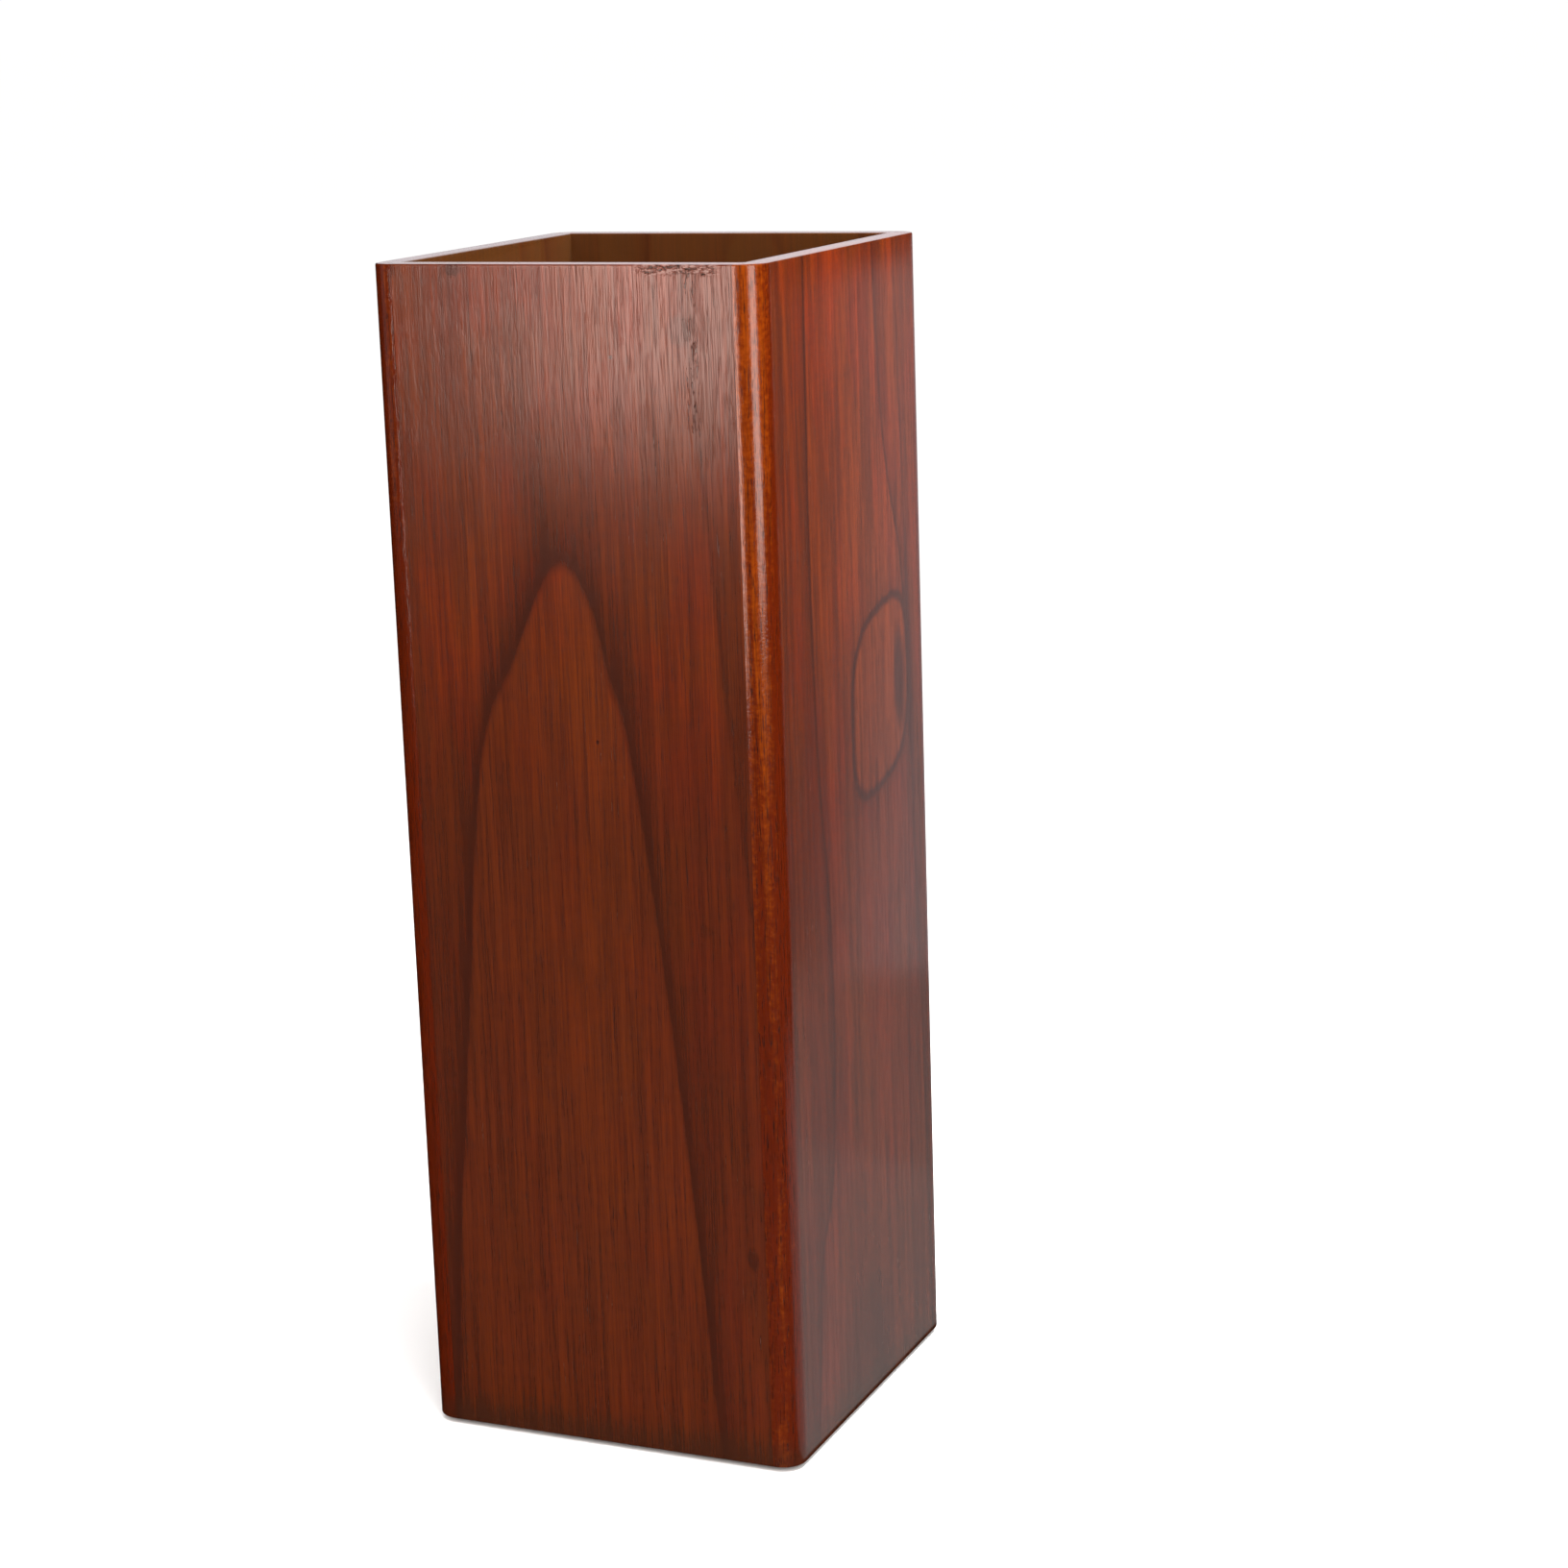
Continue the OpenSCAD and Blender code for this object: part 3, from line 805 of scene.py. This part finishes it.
def modelPad():
    low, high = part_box("front_left_pad")
    radius = (high.x - low.x) / 2
    ease, topEase = pads["ease"], pads["topEase"]
    wide, deep, slope = pads["ringWide"], pads["ringDeep"], pads["ringSlope"]
    tall = high.z - low.z
    outline = [(0, 0)]
    for ring in pads["rings"]:                    # grip rings in the underside
        outline += [(ring, 0), (ring + slope, deep), (ring + wide, deep), (ring + wide + slope, 0)]
    outline += [(radius - ease, 0)]
    for angle in (0.4, 0.8, 1.2, math.pi / 2):
        outline += [(radius - ease + ease * math.sin(angle), ease - ease * math.cos(angle))]
    outline += [(radius, tall - topEase), (radius - topEase, tall), (0, tall)]
    return spinOutline("pad", outline, pads["steps"])


onePad = modelPad()
rubber = padRubber()
for name, node in (("frontLeftPad", "front_left_pad"), ("frontRightPad", "front_right_pad"),
                   ("backLeftPad", "back_left_pad"), ("backRightPad", "back_right_pad")):
    low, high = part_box(node)
    pad = copyTurned(onePad, name, 0, ((low.x + high.x) / 2, (low.y + high.y) / 2, low.z))
    finishPiece(pad, rubber, "pad_rubber", "stand", node)
bpy.data.objects.remove(onePad)
print("pads made")


# drip tray

tray = {
    "corner": 9.5 * mm, "wall": 2 * mm, "floor": 2.5 * mm, "lipTall": 2 * mm, "lipWide": 2.5 * mm,
    "ribs": 5, "ribWide": 3 * mm, "ribTall": 2.5 * mm, "ribGap": 12 * mm, "fillet": 1.6 * mm,
    "lipEase": 0.7 * mm, "plastic": (0.0190, 0.0155, 0.0130, 1), "bloom": (0.052, 0.046, 0.040, 1),
    "lime": (0.30, 0.28, 0.25, 1), "roughness": 0.42, "bump": 0.05 * mm,
}


def trayPlastic():                                # moulded polypropylene with a fine grain and dried drops
    material, shader, x, y, z = newMaterial("tray_polypropylene")
    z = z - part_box("drip_tray")[0].z / mm
    leather = z.noise(x * 1.6, y * 1.6, z * 1.6, 3, 0.6)
    flow = z.noise(x * 0.04, y * 0.04, z * 0.08, 3, 0.5)
    drops = z.noise(x * 0.16 + 7, y * 0.16, z * 0.16, 2, 0.4)
    drop = (1 - abs(drops - 0.22).rise(0.005, 0.05)) * z.rise(9, 3) * (leather * 0.4 + 0.6)
    scuff = z.noise(x * 0.25 + 3, y * 2.5, z * 0.4, 2, 0.6).rise(0.25, 0.6) * z.rise(27.4, 27.9)
    colour = (flow * 0.18 + leather * 0.12 + 0.2).mix(tray["plastic"], tray["bloom"])
    colour = (drop * 0.22).mix(colour, tray["lime"])
    colour = (scuff * 0.35).mix(colour, tray["bloom"])
    roughness = tray["roughness"] + leather * 0.05 + flow * 0.05 + drop * 0.25 + scuff * 0.15
    dress(shader, colour, roughness, leather * 0.5 + 0.5 + drop * 0.3, tray["bump"])
    return material


def flatMeetsUpright(edge):
    tilts = sorted(abs(face.normal.z) for face in edge.link_faces)
    return tilts[0] < 0.1 and tilts[-1] > 0.9


def modelTray():
    low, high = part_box("drip_tray")
    lip = tray["lipWide"]
    outer = high.x - lip
    floorZ, lipZ = low.z + tray["floor"], high.z - tray["lipTall"]
    shell = addBlock("dripTray", (-outer, -outer, low.z), (outer, outer, high.z))
    openMesh(shell)
    pick(shell, "EDGE", upright)
    soften(tray["corner"], 10)
    cutThrough((0, 0, lipZ), (0, 0, 1))
    # the bowl is sunk from the top
    pick(shell, "FACE", lambda f: f.normal.z > 0.9)
    bpy.ops.mesh.inset(thickness=tray["wall"])
    bpy.ops.mesh.extrude_region_move(TRANSFORM_OT_translate={"value": (0, 0, floorZ - high.z)})
    # the lip grows out of the wall all round
    pick(shell, "FACE", lambda f: abs(f.normal.z) < 0.1 and f.calc_center_median().z > lipZ
         and f.normal.dot(f.calc_center_median()) > 0)
    grow = {"value": lip, "use_even_offset": True}
    bpy.ops.mesh.extrude_region_shrink_fatten(TRANSFORM_OT_shrink_fatten=grow)
    bpy.ops.mesh.select_all(action="SELECT")
    bpy.ops.mesh.normals_make_consistent(inside=False)
    pick(shell, "EDGE", lambda e: (level(e, high.z) or level(e, lipZ)) and flatMeetsUpright(e) and sharp(e)
         and e.is_convex)
    soften(tray["lipEase"], 3)
    pick(shell, "EDGE", lambda e: (level(e, floorZ) or level(e, low.z)) and sharp(e))
    soften(tray["fillet"], 4)
    closeMesh()
    # ribs stand on the floor, clear of the walls all round
    bowl = outer - tray["wall"]
    pitch = 2 * bowl / (tray["ribs"] + 1)
    long = bowl - tray["ribGap"]
    half = tray["ribWide"] / 2
    rib = addBlock("rib", (-half, -long, floorZ - 0.5 * mm), (half, long, floorZ + tray["ribTall"]))
    openMesh(rib)
    pick(rib, "EDGE", upright)
    soften(half * 0.8, 4)
    pick(rib, "EDGE", lambda e: level(e, floorZ + tray["ribTall"]))
    soften(half * 0.5, 3)
    closeMesh()
    ribs = [copyTurned(rib, "rib", 0, ((index + 1) * pitch - bowl, 0, 0)) for index in range(tray["ribs"])]
    bpy.data.objects.remove(rib)
    carve(shell, joinAll("ribs", ribs), "UNION")
    return shell


finishPiece(modelTray(), trayPlastic(), "tray_plastic", "tray", "drip_tray")
print("tray made")


# stage, light and camera

stageLook = {"floorRadius": 60.0, "floorColour": (0.99, 0.985, 0.98, 1), "dome": 1.02}

bpy.ops.object.select_all(action="DESELECT")
bpy.ops.mesh.primitive_circle_add(vertices=96, radius=stageLook["floorRadius"], fill_type="NGON")
floor = beginWith(bpy.context.object, "floor")
floorMaterial, floorShader = newMaterial("floor")[:2]
plug(floorShader, "Base Color", stageLook["floorColour"])
plug(floorShader, "Roughness", 0.9)
plug(floorShader, "Specular IOR Level", 0.0)
floor.data.materials.append(floorMaterial)
floor.visible_glossy = False

world = bpy.data.worlds.new("studio")
bpy.context.scene.world = world
world.use_nodes = True
world.node_tree.nodes["Background"].inputs["Color"].default_value = (1, 1, 1, 1)
world.node_tree.nodes["Background"].inputs["Strength"].default_value = stageLook["dome"]
world.cycles_visibility.glossy = False

# Azimuth in degrees from the front towards the right, distance and heights in metres. A card is only seen
# in the gloss and lights nothing else, a fill lights without showing in the gloss, a softbox does both.
lights = {
    "leftCard": {"kind": "card", "azimuth": (-26, -17.5), "far": 1.75, "heights": (0.135, 1.5),
                 "radiance": 12.0, "colour": (1, 0.73, 0.64)},
    "leftFill": {"kind": "fill", "azimuth": (-26, -17.5), "far": 1.75, "heights": (0.135, 1.5),
                 "radiance": 12.0, "colour": (1, 0.80, 0.74)},
    "rightSoftbox": {"kind": "softbox", "azimuth": (39, 67), "far": 1.5, "heights": (0.27, 1.4),
                     "radiance": 6.0, "colour": (1, 0.95, 0.9)},
    "backCard": {"kind": "card", "azimuth": (149, 176), "far": 0.5, "heights": (0.02, 0.45),
                 "radiance": 0.58, "colour": (0.97, 0.95, 1.0)},
    "rimCard": {"kind": "card", "azimuth": (176, 224), "far": 0.5, "heights": (0.455, 1.0),
                "radiance": 1.15, "colour": (0.97, 0.95, 1.0)},
    "sideCard": {"kind": "card", "azimuth": (-75, -50), "far": 1.8, "heights": (0.3, 1.3),
                 "radiance": 0.3, "colour": (1, 1, 1)},
}
# those given by place, aim and size: near fills, and the pale floor as the gloss sees it
placedLights = {
    "rightFill": {"kind": "fill", "place": (0.38, 0.05, 0.85), "aim": (0.08, 0.0, 0.36),
                  "size": (0.35, 0.3), "radiance": 30, "colour": (1, 1, 1)},
    "frontFill": {"kind": "fill", "place": (0.22, -0.45, 0.85), "aim": (0.05, -0.08, 0.38),
                  "size": (0.3, 0.3), "radiance": 14, "colour": (1, 1, 1)},
    "floorCard": {"kind": "card", "place": (0.27, 0.075, 0.003), "aim": (0.27, 0.075, 1),
                  "size": (0.384, 0.29), "radiance": 0.38, "colour": (1, 1, 1)},
    "farFloorCard": {"kind": "card", "place": (0.2, 0.36, 0.003), "aim": (0.2, 0.36, 1),
                     "size": (0.25, 0.28), "radiance": 0.3, "colour": (1, 1, 1)},
}
for box in lights.values():
    start, end = (math.radians(angle) for angle in box["azimuth"])
    turn = (start + end) / 2
    box["size"] = (2 * box["far"] * math.tan((end - start) / 2), box["heights"][1] - box["heights"][0])
    box["place"] = (box["far"] * math.sin(turn), -box["far"] * math.cos(turn), sum(box["heights"]) / 2)
    box["aim"] = (0, 0, box["place"][2])

spared = bpy.data.collections.new("spared")       # the left card would glare on these, seen at a low angle
for board in (backBoard, leftBoard):
    spared.objects.link(board)
for member in spared.collection_objects:
    member.light_linking.link_state = "EXCLUDE"

for name, box in {**lights, **placedLights}.items():
    data = bpy.data.lights.new(name, "AREA")
    data.shape = "RECTANGLE"
    data.size, data.size_y = box["size"]
    data.energy = box["radiance"] * math.pi * data.size * data.size_y
    data.color = box["colour"]
    lamp = bpy.data.objects.new(name, data)
    bpy.context.scene.collection.objects.link(lamp)
    lamp.location = box["place"]
    lamp.rotation_euler = (Vector(box["aim"]) - Vector(box["place"])).to_track_quat("-Z", "Y").to_euler()
    lamp.visible_camera = False
    lamp.visible_diffuse = box["kind"] != "card"
    lamp.visible_glossy = box["kind"] != "fill"
    if name == "leftCard":
        lamp.light_linking.receiver_collection = spared

# the camera looks past the middle of the case, a little from above and from the right
view = {"azimuth": 23.598, "elevation": 13.189, "roll": -1.846, "distance": 1.3100,
        "right": 0.04264, "up": 0.01731, "lens": 77.36, "sensor": 36}
caseLow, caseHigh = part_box("front_panel")
caseMiddle = Vector((0, 0, (caseLow.z + caseHigh.z) / 2))
azimuth, elevation, roll = (math.radians(view[key]) for key in ("azimuth", "elevation", "roll"))
flat = Vector((math.cos(azimuth), math.sin(azimuth), 0))
ahead = Vector((-math.sin(azimuth), math.cos(azimuth), 0))
back = Vector((0, 0, math.sin(elevation))) - ahead * math.cos(elevation)
climb = back.cross(flat)
right = math.cos(roll) * flat + math.sin(roll) * climb
up = -math.sin(roll) * flat + math.cos(roll) * climb
camera = bpy.data.objects.new("camera", bpy.data.cameras.new("camera"))
bpy.context.scene.collection.objects.link(camera)
turned = Matrix((right, up, back)).transposed().to_4x4()
place = caseMiddle + right * view["right"] + up * view["up"] + back * view["distance"]
camera.matrix_world = Matrix.Translation(place) @ turned
camera.data.lens = view["lens"]
camera.data.sensor_width = view["sensor"]
bpy.context.scene.camera = camera
bpy.context.scene.view_settings.view_transform = "Standard"
print("stage set")
